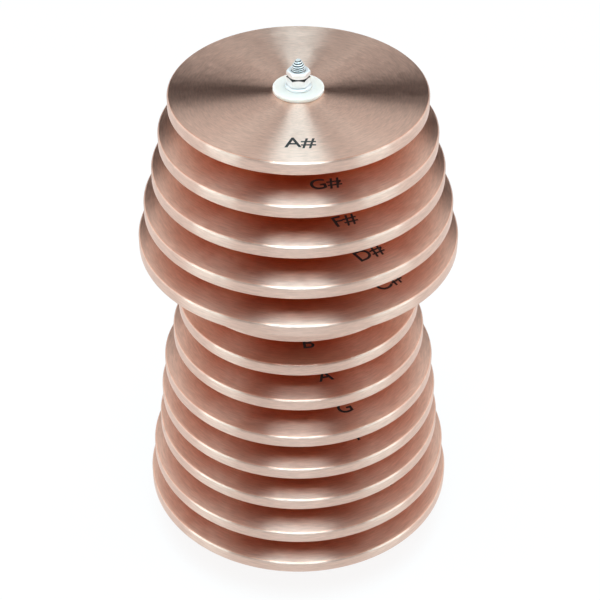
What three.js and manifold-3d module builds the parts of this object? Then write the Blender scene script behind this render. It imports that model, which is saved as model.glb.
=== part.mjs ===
// A chromatic octave of thirteen tuned bronze crotales, kept on one upright tie rod: the five
// sharps above the eight naturals, each row growing from a small disc to a large one downwards.
// Every disc has a flat top and a round boss below, and turns on its own flanged nylon bush.
// Millimetres, +Z up. The origin is the centre of the foot's underside, on the rod's axis.
import * as THREE from "three";
import { mergeVertices } from "three/addons/utils/BufferGeometryUtils.js";
import Module from "manifold-3d";

const wasm = await Module();
wasm.setup();

// Driving dimensions: the diameter of each disc, from the top of the stack down
const A_SHARP_DIAMETER = 99.7;
const G_SHARP_DIAMETER = 108.2;
const F_SHARP_DIAMETER = 114.7;
const D_SHARP_DIAMETER = 122.3;
const C_SHARP_DIAMETER = 127.9;
const HIGH_C_DIAMETER = 95.6;
const B_DIAMETER = 98.8;
const A_DIAMETER = 104.3;
const G_DIAMETER = 112.8;
const F_DIAMETER = 116.5;
const E_DIAMETER = 119.5;
const D_DIAMETER = 126.1;
const LOW_C_DIAMETER = 130;

// Driving dimensions: what every disc has alike
const PLATE_THICKNESS = 5.2;
const RIM_TOP_CHAMFER = 0.6;
const RIM_BOTTOM_CHAMFER = 0.3;
const BOSS_DIAMETER = 20;
const BOSS_HEIGHT = 8.8;
const BOSS_CHAMFER = 0.8;
const BOSS_ROOT_FILLET = 1.6;

// Driving dimensions: the flanged nylon bush in each disc
const FLANGE_DIAMETER = 19.5;
const FLANGE_THICKNESS = 1.6;
const FLANGE_CHAMFER = 0.25;
const SLEEVE_WALL = 1.35;
const SLEEVE_LENGTH = 9;

// Driving dimensions: the tie rod and its threads, M5 with a pitch of 0.8
const ROD_DIAMETER = 5;
const THREAD_PITCH = 0.8;
const THREAD_DEPTH_SHARE = 0.54;
const CREST_FLAT_SHARE = 0.16;
const THREAD_HALF_ANGLE = Math.PI / 6;
const CREST_RELIEF = 0.05;
const SPARE_THREAD = 2;
const LOWER_END_CHAMFER = 0.9;
const TOP_CONE_DEPTH = 1.5;
const TOP_CONE_LENGTH = 2.6;
const TOP_END_LENGTH = 4.3;
const BOTTOM_END_LENGTH = 0.8;
const BOTTOM_END_STANDOFF = 1.9;

// Driving dimensions: hexagon nuts and steel washers for the rod
const NUT_ACROSS_FLATS = 8;
const CLAMP_NUT_HEIGHT = 3.7;
const JAM_NUT_HEIGHT = 2.45;
const CHAMFER_CIRCLE_SHARE = 0.9;
const CHAMFER_SLOPE = Math.tan(Math.PI / 6);
const STEEL_WASHER_DIAMETER = 10;
const STEEL_WASHER_THICKNESS = 1;

// Driving dimensions: the lock nut at the lower end, whose collar holds a ring of nylon
const LOCK_NUT_HEX_HEIGHT = 3.2;
const RING_WALL = 0.7;
const RING_THICKNESS = 1.3;
const COLLAR_WALL = 0.4;
const COLLAR_LIP = 0.35;

// Driving dimensions: the round rubber foot, recessed from below for the lock nut
const FOOT_DIAMETER = 50;
const FOOT_TAPER = 2;
const FOOT_EDGE_RADIUS = 1.5;
const FOOT_FLOOR = 3.2;
const FOOT_RECESS_DIAMETER = 15;

// Clearances
const RUNNING_GAP = 0.1;
const SEAT_GAP = 0.05;
const ROD_CLEARANCE = 0.15;
const BORE_CLEARANCE = 0.2;
const THREAD_CLEARANCE = 0.15;
const RING_CLEARANCE = 0.08;
const CUT_OVERRUN = 0.4;

// How finely round pieces are divided
const RIM_SIDES = 48;
const BOSS_SIDES = 20;
const BUSH_SIDES = 16;
const THREAD_SIDES = 12;
const NUT_CHAMFER_SIDES = 24;
const FOOT_SIDES = 32;
const FOOT_EDGE_STEPS = 3;
const HEX_SIDES = 6;

// The stack from the top down: five sharps, then eight naturals
const STACK = [
  ["a_sharp", A_SHARP_DIAMETER],
  ["g_sharp", G_SHARP_DIAMETER],
  ["f_sharp", F_SHARP_DIAMETER],
  ["d_sharp", D_SHARP_DIAMETER],
  ["c_sharp", C_SHARP_DIAMETER],
  ["high_c", HIGH_C_DIAMETER],
  ["b", B_DIAMETER],
  ["a", A_DIAMETER],
  ["g", G_DIAMETER],
  ["f", F_DIAMETER],
  ["e", E_DIAMETER],
  ["d", D_DIAMETER],
  ["low_c", LOW_C_DIAMETER],
];

// Radii that follow from the sizes above
const ROD_RADIUS = ROD_DIAMETER / 2;
const CREST_RADIUS = ROD_RADIUS - CREST_RELIEF;
const SLIDING_BORE_RADIUS = ROD_RADIUS + ROD_CLEARANCE;
const BOSS_RADIUS = BOSS_DIAMETER / 2;
const FLANGE_RADIUS = FLANGE_DIAMETER / 2;
const SLEEVE_RADIUS = SLIDING_BORE_RADIUS + SLEEVE_WALL;
const DISC_BORE_RADIUS = SLEEVE_RADIUS + BORE_CLEARANCE;
const NUT_CORNER_RADIUS = NUT_ACROSS_FLATS / 2 / Math.cos(Math.PI / HEX_SIDES);
const RING_RADIUS = SLIDING_BORE_RADIUS + RING_WALL;
const RING_POCKET_RADIUS = RING_RADIUS + RING_CLEARANCE;
const COLLAR_RADIUS = RING_POCKET_RADIUS + COLLAR_WALL;

// Heights that follow, from the surface up to the foot's top
const COLLAR_HEIGHT = COLLAR_LIP + RING_THICKNESS + 2 * RING_CLEARANCE;
const LOCK_NUT_BASE = BOTTOM_END_STANDOFF + BOTTOM_END_LENGTH;
const LOCK_NUT_TOP = LOCK_NUT_BASE + COLLAR_HEIGHT + LOCK_NUT_HEX_HEIGHT;
const RING_BASE = LOCK_NUT_BASE + COLLAR_LIP + RING_CLEARANCE;
const FOOT_WASHER_BASE = LOCK_NUT_TOP + SEAT_GAP;
const FOOT_CEILING = FOOT_WASHER_BASE + STEEL_WASHER_THICKNESS + SEAT_GAP;
const FOOT_HEIGHT = FOOT_CEILING + FOOT_FLOOR;

// Heights that follow, up the stack of discs
const DISC_HEIGHT = PLATE_THICKNESS + BOSS_HEIGHT;
const DISC_PITCH = DISC_HEIGHT + FLANGE_THICKNESS + 2 * RUNNING_GAP;
const BASE_WASHER_BASE = FOOT_HEIGHT + SEAT_GAP;
const LOWEST_DISC_BASE = BASE_WASHER_BASE + FLANGE_THICKNESS + RUNNING_GAP;
const TOP_FACE_HEIGHT = LOWEST_DISC_BASE + (STACK.length - 1) * DISC_PITCH + DISC_HEIGHT;

// Heights that follow, up through the clamp on top
const TOP_WASHER_BASE = TOP_FACE_HEIGHT + RUNNING_GAP + FLANGE_THICKNESS + SEAT_GAP;
const CLAMP_NUT_BASE = TOP_WASHER_BASE + STEEL_WASHER_THICKNESS + SEAT_GAP;
const JAM_NUT_BASE = CLAMP_NUT_BASE + CLAMP_NUT_HEIGHT + SEAT_GAP;
const ROD_TIP_HEIGHT = JAM_NUT_BASE + JAM_NUT_HEIGHT + TOP_END_LENGTH;

const BRONZE = new THREE.MeshStandardMaterial({ color: 0xd9a98c, roughness: 0.32, metalness: 1 });
const NYLON = new THREE.MeshStandardMaterial({ color: 0xf1efe8, roughness: 0.5, metalness: 0 });
const ZINC = new THREE.MeshStandardMaterial({ color: 0xc9d0d6, roughness: 0.25, metalness: 1 });
const RUBBER = new THREE.MeshStandardMaterial({ color: 0x1c1c1d, roughness: 0.85, metalness: 0 });

// A closed [radius, height] outline turned round +Z
function turned(outline, sides) {
  const points = outline.map(([radius, height]) => new THREE.Vector2(radius, height));
  return new THREE.LatheGeometry(points, sides).rotateX(Math.PI / 2);
}

// The same outline with its last point joined to its first, for a piece with a bore
function turnedRing(outline, sides) {
  return turned([...outline, outline[0]], sides);
}

// A plain round bar from one height to another
function bar(radius, low, high, sides) {
  return turned([[0, low], [radius, low], [radius, high], [0, high]], sides);
}

// A flat ring that slides on the rod, standing on height zero
function washer(radius, thickness) {
  const outline = [
    [SLIDING_BORE_RADIUS, 0],
    [radius, 0],
    [radius, thickness],
    [SLIDING_BORE_RADIUS, thickness],
  ];
  return turnedRing(outline, BUSH_SIDES);
}

function toSolid(geometry) {
  const bare = geometry.clone().deleteAttribute("normal").deleteAttribute("uv");
  const merged = mergeVertices(bare);
  const vertProperties = new Float32Array(merged.attributes.position.array);
  const triVerts = new Uint32Array(merged.index.array);
  return new wasm.Manifold(new wasm.Mesh({ numProp: 3, vertProperties, triVerts }));
}

function toGeometry(solid) {
  const mesh = solid.getMesh();
  const geometry = new THREE.BufferGeometry();
  geometry.setAttribute("position", new THREE.BufferAttribute(mesh.vertProperties, 3));
  geometry.setIndex(new THREE.BufferAttribute(mesh.triVerts, 1));
  geometry.computeVertexNormals();
  return geometry;
}

function piece(name, geometry, material, height) {
  const mesh = new THREE.Mesh(geometry, material);
  mesh.name = name;
  mesh.position.z = height;
  return mesh;
}

// One crotale, its boss standing on height zero: a flat plate with chamfered edges, a round
// boss with a widened root, and a bore for the bush's sleeve
function crotale(diameter) {
  const radius = diameter / 2;
  const root = BOSS_RADIUS + BOSS_ROOT_FILLET;
  const insidePlate = BOSS_HEIGHT + PLATE_THICKNESS / 2;
  const plate = turned(
    [
      [0, BOSS_HEIGHT],
      [radius - RIM_BOTTOM_CHAMFER, BOSS_HEIGHT],
      [radius, BOSS_HEIGHT + RIM_BOTTOM_CHAMFER],
      [radius, DISC_HEIGHT - RIM_TOP_CHAMFER],
      [radius - RIM_TOP_CHAMFER, DISC_HEIGHT],
      [0, DISC_HEIGHT],
    ],
    RIM_SIDES,
  );
  const boss = turned(
    [
      [0, 0],
      [BOSS_RADIUS - BOSS_CHAMFER, 0],
      [BOSS_RADIUS, BOSS_CHAMFER],
      [BOSS_RADIUS, BOSS_HEIGHT - BOSS_ROOT_FILLET],
      [root, BOSS_HEIGHT],
      [root, insidePlate],
      [0, insidePlate],
    ],
    BOSS_SIDES,
  );
  const bore = bar(DISC_BORE_RADIUS, -CUT_OVERRUN, DISC_HEIGHT + CUT_OVERRUN, BOSS_SIDES);
  return toGeometry(toSolid(plate).add(toSolid(boss)).subtract(toSolid(bore)));
}

// A nylon bush, its flange standing on height zero and its sleeve hanging into the disc
function flangedBush() {
  const outline = [
    [SLIDING_BORE_RADIUS, -SLEEVE_LENGTH],
    [SLEEVE_RADIUS, -SLEEVE_LENGTH],
    [SLEEVE_RADIUS, 0],
    [FLANGE_RADIUS, 0],
    [FLANGE_RADIUS, FLANGE_THICKNESS - FLANGE_CHAMFER],
    [FLANGE_RADIUS - FLANGE_CHAMFER, FLANGE_THICKNESS],
    [SLIDING_BORE_RADIUS, FLANGE_THICKNESS],
  ];
  return turnedRing(outline, BUSH_SIDES);
}

// A right-handed screw that reaches at least from one height to another. Its section, root to
// crest, climbs a pitch each turn, and a fan of triangles closes each end. All screws share
// one phase, because their turns are counted from height zero.
function screw(low, high, growth) {
  const depth = THREAD_PITCH * THREAD_DEPTH_SHARE;
  const flank = depth * Math.tan(THREAD_HALF_ANGLE);
  const crestFlat = THREAD_PITCH * CREST_FLAT_SHARE;
  const rootFlat = THREAD_PITCH - crestFlat - 2 * flank;
  const crest = CREST_RADIUS + growth;
  const root = crest - depth;
  const section = [
    [root, 0],
    [root, rootFlat],
    [crest, rootFlat + flank],
    [crest, rootFlat + flank + crestFlat],
  ];
  const firstTurn = Math.floor(low / THREAD_PITCH) - 1;
  const turns = Math.ceil(high / THREAD_PITCH) + 1 - firstTurn;
  const steps = turns * THREAD_SIDES;
  const positions = [];
  for (let step = 0; step <= steps + THREAD_SIDES; step += 1) {
    const angle = (2 * Math.PI * step) / THREAD_SIDES;
    const climb = (firstTurn + step / THREAD_SIDES) * THREAD_PITCH;
    for (const [radius, rise] of section) {
      positions.push(radius * Math.cos(angle), radius * Math.sin(angle), climb + rise);
    }
  }
  const bottomCentre = positions.length / 3;
  const topCentre = bottomCentre + 1;
  positions.push(0, 0, firstTurn * THREAD_PITCH);
  positions.push(0, 0, (firstTurn + turns + 1) * THREAD_PITCH);
  // The corner after a step's last one is the first corner of the step one turn further on
  const last = section.length;
  const at = (step, corner) =>
    corner < last ? step * last + corner : (step + THREAD_SIDES) * last;
  const faces = [];
  for (let step = 0; step < steps; step += 1) {
    for (let corner = 0; corner < last; corner += 1) {
      const here = at(step, corner);
      const across = at(step + 1, corner + 1);
      faces.push(here, at(step + 1, corner), across);
      faces.push(here, across, at(step, corner + 1));
    }
  }
  for (let side = 0; side < THREAD_SIDES; side += 1) {
    faces.push(at(side + 1, 0), at(side, 0), bottomCentre);
    faces.push(at(steps + side, 0), at(steps + side + 1, 0), topCentre);
  }
  for (let corner = 0; corner < last; corner += 1) {
    faces.push(at(0, corner), at(0, corner + 1), bottomCentre);
    faces.push(at(steps, corner + 1), at(steps, corner), topCentre);
  }
  const vertProperties = new Float32Array(positions);
  const triVerts = new Uint32Array(faces);
  return new wasm.Manifold(new wasm.Mesh({ numProp: 3, vertProperties, triVerts }));
}

// The tie rod in its own place: a plain shank with a thread at each end, its lower end
// chamfered and its top end a long cone that starts the nuts
function tieRod() {
  const shankLow = LOCK_NUT_TOP + SPARE_THREAD;
  const shankHigh = CLAMP_NUT_BASE - SPARE_THREAD;
  const ends = turned(
    [
      [0, BOTTOM_END_STANDOFF],
      [CREST_RADIUS - LOWER_END_CHAMFER, BOTTOM_END_STANDOFF],
      [CREST_RADIUS, BOTTOM_END_STANDOFF + LOWER_END_CHAMFER],
      [CREST_RADIUS, ROD_TIP_HEIGHT - TOP_CONE_LENGTH],
      [CREST_RADIUS - TOP_CONE_DEPTH, ROD_TIP_HEIGHT],
      [0, ROD_TIP_HEIGHT],
    ],
    THREAD_SIDES,
  );
  const shank = bar(ROD_RADIUS, shankLow, shankHigh, THREAD_SIDES);
  const bottomThread = screw(BOTTOM_END_STANDOFF, shankLow, 0);
  const topThread = screw(shankHigh, ROD_TIP_HEIGHT, 0);
  const threads = bottomThread.add(topThread).intersect(toSolid(ends));
  return toGeometry(threads.add(toSolid(shank)));
}

// A hexagonal bar with a flat towards -Y, from one height to another
function hexagon(low, high) {
  const shape = new THREE.Shape();
  for (let side = 0; side < HEX_SIDES; side += 1) {
    const angle = (2 * Math.PI * side) / HEX_SIDES;
    const x = NUT_CORNER_RADIUS * Math.cos(angle);
    const y = NUT_CORNER_RADIUS * Math.sin(angle);
    shape[side ? "lineTo" : "moveTo"](x, y);
  }
  shape.closePath();
  const options = { depth: high - low, bevelEnabled: false };
  return new THREE.ExtrudeGeometry(shape, options).translate(0, 0, low);
}

// A hexagonal nut body from one height to another, its corners taken off at 30 degrees
function hexBody(low, high) {
  const circle = (NUT_ACROSS_FLATS / 2) * CHAMFER_CIRCLE_SHARE;
  const outside = NUT_CORNER_RADIUS + CUT_OVERRUN;
  const drop = (outside - circle) * CHAMFER_SLOPE;
  const blank = turned(
    [
      [0, low],
      [circle, low],
      [outside, low + drop],
      [outside, high - drop],
      [circle, high],
      [0, high],
    ],
    NUT_CHAMFER_SIDES,
  );
  return toSolid(hexagon(low, high)).intersect(toSolid(blank));
}

// The rod's thread grown by its clearance, through a nut in its own place
function threadCutter(low, high) {
  return screw(low - CUT_OVERRUN, high + CUT_OVERRUN, THREAD_CLEARANCE);
}

// A threaded hexagon nut in its own place, in step with the rod's thread
function hexNut(low, height) {
  const high = low + height;
  return toGeometry(hexBody(low, high).subtract(threadCutter(low, high)));
}

// The lower nut in its own place, with a collar below whose lip keeps the nylon ring in
function lockNut() {
  const hexBase = LOCK_NUT_BASE + COLLAR_HEIGHT;
  const insideHex = hexBase + LOCK_NUT_HEX_HEIGHT / 2;
  const lipTop = LOCK_NUT_BASE + COLLAR_LIP;
  const collar = bar(COLLAR_RADIUS, LOCK_NUT_BASE, insideHex, NUT_CHAMFER_SIDES);
  const pocket = bar(RING_POCKET_RADIUS, lipTop, hexBase, NUT_CHAMFER_SIDES);
  const bore = bar(SLIDING_BORE_RADIUS, LOCK_NUT_BASE - CUT_OVERRUN, hexBase, NUT_CHAMFER_SIDES);
  const body = hexBody(hexBase, LOCK_NUT_TOP).add(toSolid(collar));
  const hollow = toSolid(pocket).add(toSolid(bore));
  return toGeometry(body.subtract(hollow).subtract(threadCutter(hexBase, LOCK_NUT_TOP)));
}

// The rubber foot: tapered, rounded at its lower edge, bored for the rod and recessed below
function rubberFoot() {
  const recess = FOOT_RECESS_DIAMETER / 2;
  const outside = FOOT_DIAMETER / 2;
  const edge = [];
  for (let step = 0; step <= FOOT_EDGE_STEPS; step += 1) {
    const angle = (Math.PI / 2) * (step / FOOT_EDGE_STEPS);
    const inward = FOOT_EDGE_RADIUS * (1 - Math.sin(angle));
    edge.push([outside - inward, FOOT_EDGE_RADIUS * (1 - Math.cos(angle))]);
  }
  const outline = [
    [recess, 0],
    ...edge,
    [outside - FOOT_TAPER, FOOT_HEIGHT],
    [SLIDING_BORE_RADIUS, FOOT_HEIGHT],
    [SLIDING_BORE_RADIUS, FOOT_CEILING],
    [recess, FOOT_CEILING],
  ];
  return turnedRing(outline, FOOT_SIDES);
}

function steelWasher() {
  return washer(STEEL_WASHER_DIAMETER / 2, STEEL_WASHER_THICKNESS);
}

// The fixed pieces that carry the stack
function base() {
  const group = new THREE.Group();
  group.add(
    piece("tie_rod", tieRod(), ZINC, 0),
    piece("rubber_foot", rubberFoot(), RUBBER, 0),
    piece("foot_lock_nut", lockNut(), ZINC, 0),
    piece("lock_nut_nylon_ring", washer(RING_RADIUS, RING_THICKNESS), NYLON, RING_BASE),
    piece("foot_steel_washer", steelWasher(), ZINC, FOOT_WASHER_BASE),
    piece("base_nylon_washer", washer(FLANGE_RADIUS, FLANGE_THICKNESS), NYLON, BASE_WASHER_BASE),
  );
  return group;
}

// One disc and the bush it turns on, in a group that stands where the disc's boss does
function discAndBush(note, diameter, height) {
  const group = new THREE.Group();
  group.position.z = height;
  group.add(
    piece(`crotale_${note}`, crotale(diameter), BRONZE, 0),
    piece(`nylon_bush_${note}`, flangedBush(), NYLON, DISC_HEIGHT + RUNNING_GAP),
  );
  return group;
}

// The washer and the two nuts, locked against each other, that hold the stack down
function clamp() {
  const group = new THREE.Group();
  group.add(
    piece("top_steel_washer", steelWasher(), ZINC, TOP_WASHER_BASE),
    piece("clamp_nut", hexNut(CLAMP_NUT_BASE, CLAMP_NUT_HEIGHT), ZINC, 0),
    piece("jam_nut", hexNut(JAM_NUT_BASE, JAM_NUT_HEIGHT), ZINC, 0),
  );
  return group;
}

const crotales = new THREE.Group();
crotales.add(base(), clamp());
STACK.forEach(([note, diameter], place) => {
  const discsBelow = STACK.length - 1 - place;
  crotales.add(discAndBush(note, diameter, LOWEST_DISC_BASE + discsBelow * DISC_PITCH));
});

export default crotales;
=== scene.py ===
"""Finishes a stack of tuned bronze crotales and sets it in a plain studio.

The stack is thirteen lathe-turned discs on one tie rod. Every disc turns on a flanged nylon
bush, two zinc-plated nuts hold the stack down, and it stands on a rubber foot.
"""

import math

import bmesh
import bpy
from bpy.props import FloatProperty, FloatVectorProperty, IntProperty, PointerProperty
from mathutils import Matrix, Vector


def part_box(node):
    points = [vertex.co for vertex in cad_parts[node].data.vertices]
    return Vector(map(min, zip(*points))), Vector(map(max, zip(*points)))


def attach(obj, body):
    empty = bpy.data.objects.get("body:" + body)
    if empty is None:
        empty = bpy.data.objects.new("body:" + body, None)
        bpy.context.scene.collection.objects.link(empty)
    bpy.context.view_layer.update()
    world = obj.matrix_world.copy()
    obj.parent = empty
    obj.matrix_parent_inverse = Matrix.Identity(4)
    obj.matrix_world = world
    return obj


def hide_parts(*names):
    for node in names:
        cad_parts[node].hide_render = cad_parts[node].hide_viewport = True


bl_info = {
    "name": "Crotale Stack",
    "version": (1, 0, 0),
    "blender": (4, 5, 0),
    "location": "3D View > Sidebar > Crotales",
    "description": "Finishes a chromatic stack of bronze crotales and lights it in a studio",
    "category": "Add Mesh",
}

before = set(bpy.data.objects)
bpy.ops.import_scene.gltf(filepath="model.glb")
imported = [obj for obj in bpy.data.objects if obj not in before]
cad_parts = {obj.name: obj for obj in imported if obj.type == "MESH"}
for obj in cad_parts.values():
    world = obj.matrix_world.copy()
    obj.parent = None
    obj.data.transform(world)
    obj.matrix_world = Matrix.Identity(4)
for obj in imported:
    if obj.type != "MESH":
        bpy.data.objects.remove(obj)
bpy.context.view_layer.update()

MM = 0.001
FULL_TURN = 2 * math.pi

# The flank of the thread, the chamfer of a nut and half the angle between two of its flats
THIRTY_DEGREES = math.radians(30)

# Edges that turn by more than this stay sharp
CRISP_ANGLE = math.radians(24)

# Points that are closer together than this are one point
MERGE_DISTANCE = MM / 1000

# How near to a given ring or level a point has to lie to be on it
RING_TOLERANCE = MM / 50
LEVEL_TOLERANCE = MM / 100

# Steps in each arc of an outline
ARC_STEPS = 4

# Height of the thread's rounded crest, as a share of its width
CREST_HEIGHT = 1 / 3

# Turns of thread past each end, which are cut off
SPARE_TURNS = 2

# How far the cutter of a nut's chamfers reaches past its corners
CUTTER_MARGIN = 0.4 * MM

# Rings of points on a disc's top face that carry its painted shade, as shares of the reach
PAINTED_SHADE_RINGS = (0, 0.3, 0.65, 1)

# How far the middle of the print lies above its disc, as a share of its thickness
INK_LIFT = 0.3

# The attributes that say how much painted shade a disc's surface takes, deepest where
# another disc covers it, and whether it is the rim
PAINTED_SHADE = "painted_shade"
RIM = "rim"

# Each disc from the top down: its note, its printed letters, and by how many degrees
# they are turned about the stack's axis
DISCS = (
    ("a_sharp", "A#", 1),
    ("g_sharp", "G#", 14),
    ("f_sharp", "F#", 23),
    ("d_sharp", "D#", 34),
    ("c_sharp", "C#", 43),
    ("high_c", "C", -4),
    ("b", "B", 6),
    ("a", "A", 16),
    ("g", "G", 26),
    ("f", "F", 33),
    ("e", "E", 43),
    ("d", "D", 51),
    ("low_c", "C", 64),
)

# Where the painted shade on the zinc plate starts and where it is full: in the joint of the two
# nuts on top, in a nut's bore, in a washer's bore, below the rod's tip, and down in the thread
# as a share of its radius
JOINT_SHADE = (0.12 * MM, 0.04 * MM)
NUT_BORE_SHADE = (0.2 * MM, 0)
WASHER_BORE_SHADE = (0.4 * MM, 0.2 * MM)
TIP_SHADE = (-0.02 * MM, -0.1 * MM)
THREAD_SHADE = (0.02, 0.1)

# Nearly all values of a noise lie between these
NOISE_RANGE = (0.3, 0.7)

# How far the marks darken and lighten the bronze, in the open and in the painted shade where
# another disc covers it
OPEN_SHADES = (0.88, 1.1)
PAINTED_SHADE_TONES = (0.9, 1.08)

# How far the bands, the fine marks and the smudges change the bronze's roughness
BAND_ROUGHNESS = 0.025
FINE_ROUGHNESS = 0.018
SMUDGE_ROUGHNESS = 0.012

SMUDGE_CONTRAST = 4.0
MOTTLE_FINENESS = 14.0
# Roughness where the zinc plate is painted with shade
SHADE_ROUGHNESS = 0.7

WHITE = (1.0, 1.0, 1.0)
COOL = (0.56, 0.9, 1.0)
COLD = (0.49, 0.79, 0.93)

# Each lamp: its name, place, width, length, colour, the setting that has its level, and its
# share of that level
LAMPS = (
    ("overhead", (0, -0.45, 1.8), 0.75, 1.1, COLD, "overhead", 1),
    ("key", (0, -0.75, 1.65), 0.9, 0.6, WHITE, "key", 1),
    ("left", (-1.5, -0.75, 0.6), 0.9, 1.0, COOL, "side", 1),
    ("right", (1.5, -0.75, 0.6), 0.9, 1.0, COOL, "side", 0.85),
)
LAMP_AIM = (0, 0, 0.2)

# Where each part of the lit room starts and where it is full, measured on the direction's
# own axes, and how much higher or narrower a part gets along another axis
CEILING_EDGE = (0.61, 0.69)
CEILING_SLOPE = 0.35
WALL_EDGE = (0.4, 0.62)
BACK_EDGE = (-0.5, -0.1)
HORIZON_EDGE = (0.24, 0.18)
FLAG_EDGE = (0.2, 0.14)
FLAG_SLOPE = 0.21

# The room's level, where 1 is white, its share in front, and what the flag takes away
ROOM_LEVEL = 1.08
FRONT_SHARE = 0.25
FLAG_LEVEL = 0.8

# The floor lies this far below the foot, so that the two don't share a plane
FLOOR_GAP = 0.05 * MM


def outer_radius(node):
    """Half the width of a round CAD node."""
    low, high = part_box(node)
    return (high.x - low.x) / 2


def number_setting(name, description, value, **options):
    return FloatProperty(name=name, description=description, default=value, **options)


def length_setting(name, description, millimetres):
    return number_setting(
        name, description, millimetres * MM, min=0, precision=5, subtype="DISTANCE", unit="LENGTH"
    )


def share_setting(name, description, share):
    return number_setting(name, description, share, min=0, max=1, subtype="FACTOR")


def sides_setting(description, count):
    return IntProperty(name="Sides", description=description, default=count, min=24, max=512)


def colour_setting(name, description, colour):
    return FloatVectorProperty(
        name=name, description=description, default=colour, size=3, min=0, max=1, subtype="COLOR"
    )


class CrotaleDiscSettings(bpy.types.PropertyGroup):
    """Sizes that all thirteen discs share, and the look of their bronze."""

    plate: length_setting("Plate", "Thickness of the sounding plate", 5.2)
    boss_radius: length_setting("Boss Radius", "Radius of the boss below the plate", 10)
    boss_root: length_setting("Boss Root", "Radius of the hollow between boss and plate", 1.6)
    boss_edge: length_setting("Boss Edge", "Chamfer round the boss's foot", 0.8)
    bore_radius: length_setting("Bore Radius", "Radius of the bore for the bush", 4.2)
    top_edge: length_setting("Top Edge", "Chamfer round the top of the rim", 0.6)
    bottom_edge: length_setting("Bottom Edge", "Chamfer round the bottom of the rim", 0.3)
    softening: length_setting("Softening", "How far each edge of the rim is rounded off", 0.1)
    sides: sides_setting("Faces round each disc", 192)
    # The bronze takes a painted shade, a deeper red colour, under the disc above, on its underside
    # and partly on its boss; these settings shape it
    shade_reach: length_setting("Shade Reach", "How far in from the disc above it deepens", 13)
    shade_curve: number_setting("Shade Curve", "How slowly it deepens at first", 1.6, min=1)
    boss_shade: share_setting("Boss Shade", "How much of the deeper colour the boss has", 0.35)
    bronze: colour_setting("Bronze", "Colour of the freshly turned bronze", (0.81, 0.54, 0.43))
    # Colour of the painted shade where another disc covers the bronze
    sheltered: colour_setting(
        "Sheltered Bronze", "Deeper colour where another disc shelters it", (0.76, 0.24, 0.1)
    )
    rim: colour_setting("Rim", "Colour of the freshly cut rim", (0.73, 0.52, 0.43))
    roughness: share_setting("Roughness", "Roughness of the turned surface", 0.325)
    marks_per_metre: number_setting(
        "Turning Marks", "Turning marks per metre of radius", 1600, min=1
    )
    breaks_per_turn: number_setting("Breaks", "How often the marks change in a turn", 70, min=1)
    mark_depth: length_setting("Mark Depth", "Depth of the turning marks", 0.03)


class CrotaleMarkSettings(bpy.types.PropertyGroup):
    """The printed note name near each disc's rim."""

    letter_height: length_setting("Letter Height", "Size of the printed letters", 9)
    weight: length_setting("Weight", "How much bolder the strokes are on each side", 0.12)
    from_rim: length_setting("From Rim", "Distance of the letters' middle from the rim", 13.4)
    ink_depth: length_setting("Ink", "Thickness of the print", 0.02)
    ink: colour_setting("Ink Colour", "Colour of the printed note names", (0.012, 0.011, 0.011))


class CrotaleBushSettings(bpy.types.PropertyGroup):
    """The flanged nylon bushes and the plain nylon washer."""

    flange: length_setting("Flange", "Thickness of a bush's flange", 1.6)
    sleeve_radius: length_setting("Sleeve Radius", "Outer radius of a bush's sleeve", 4)
    bore_radius: length_setting("Bore Radius", "Radius of the bore for the rod", 2.65)
    edge: length_setting("Edge", "Rounding of a flange's edges", 0.3)
    sides: sides_setting("Faces round each bush", 96)
    nylon: colour_setting("Nylon", "Colour of the natural nylon", (0.75, 0.64, 0.57))


class CrotaleRodSettings(bpy.types.PropertyGroup):
    """The tie rod, its nuts and its washers."""

    radius: length_setting("Rod Radius", "Radius of the plain shank", 2.5)
    crest: length_setting("Crest Radius", "Radius over the thread's crests", 2.45)
    thread_depth: length_setting("Thread Depth", "Depth of the thread", 0.432)
    pitch: length_setting("Pitch", "Rise of the thread in one turn", 0.8)
    crest_width: length_setting("Crest Width", "Width of the thread's rounded crest", 0.3)
    top_thread: length_setting("Top Thread", "Length of the thread at the top", 12.5)
    bottom_thread: length_setting("Bottom Thread", "Length of the thread at the bottom", 7.81)
    end_chamfer: length_setting("End Chamfer", "Chamfer at the rod's lower end", 0.9)
    cone_depth: length_setting("Cone Depth", "How much thinner the rod is at its top end", 1.5)
    cone_length: length_setting("Cone Length", "Length of the cone at the rod's top end", 2.6)
    across_flats: length_setting("Across Flats", "Width of the hexagon nuts", 8)
    nut_face: length_setting("Nut Face", "Radius of the flat end of a nut", 3.6)
    nut_corner: length_setting("Nut Corner", "Rounding of a nut's upright edges", 0.12)
    nut_clearance: length_setting("Nut Clearance", "Gap between the crests and a nut", 0.12)
    countersink: length_setting("Countersink", "Depth of the countersink in a nut's bore", 0.35)
    washer_edge: length_setting("Washer Edge", "Rounding of a steel washer's edges", 0.15)
    sides: sides_setting("Faces round the rod and the nuts", 64)
    zinc: colour_setting("Zinc", "Colour of the bright zinc plate", (0.92, 0.9, 0.89))
    # Colour of the painted shade in the threads' roots, the bores and the joint of the nuts
    soil: colour_setting("Soil", "Colour of oil and dust in threads and joints", (0.05, 0.05, 0.05))


class CrotaleFootSettings(bpy.types.PropertyGroup):
    """The rubber foot."""

    taper: length_setting("Taper", "How much smaller the foot's radius is at its top", 2)
    edge: length_setting("Lower Edge", "Rounding of the foot's lower edge", 1.5)
    top_edge: length_setting("Top Edge", "Rounding of the foot's top edge", 0.8)
    recess_edge: length_setting("Recess Edge", "Rounding of the recess's lower edge", 0.4)
    recess_radius: length_setting("Recess Radius", "Radius of the recess for the lock nut", 7.5)
    floor: length_setting("Floor", "Thickness of the rubber above the recess", 3.2)
    bore_radius: length_setting("Bore Radius", "Radius of the bore for the rod", 2.65)
    sides: sides_setting("Faces round the foot", 128)
    rubber: colour_setting("Rubber", "Colour of the moulded rubber", (0.022, 0.022, 0.023))


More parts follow.
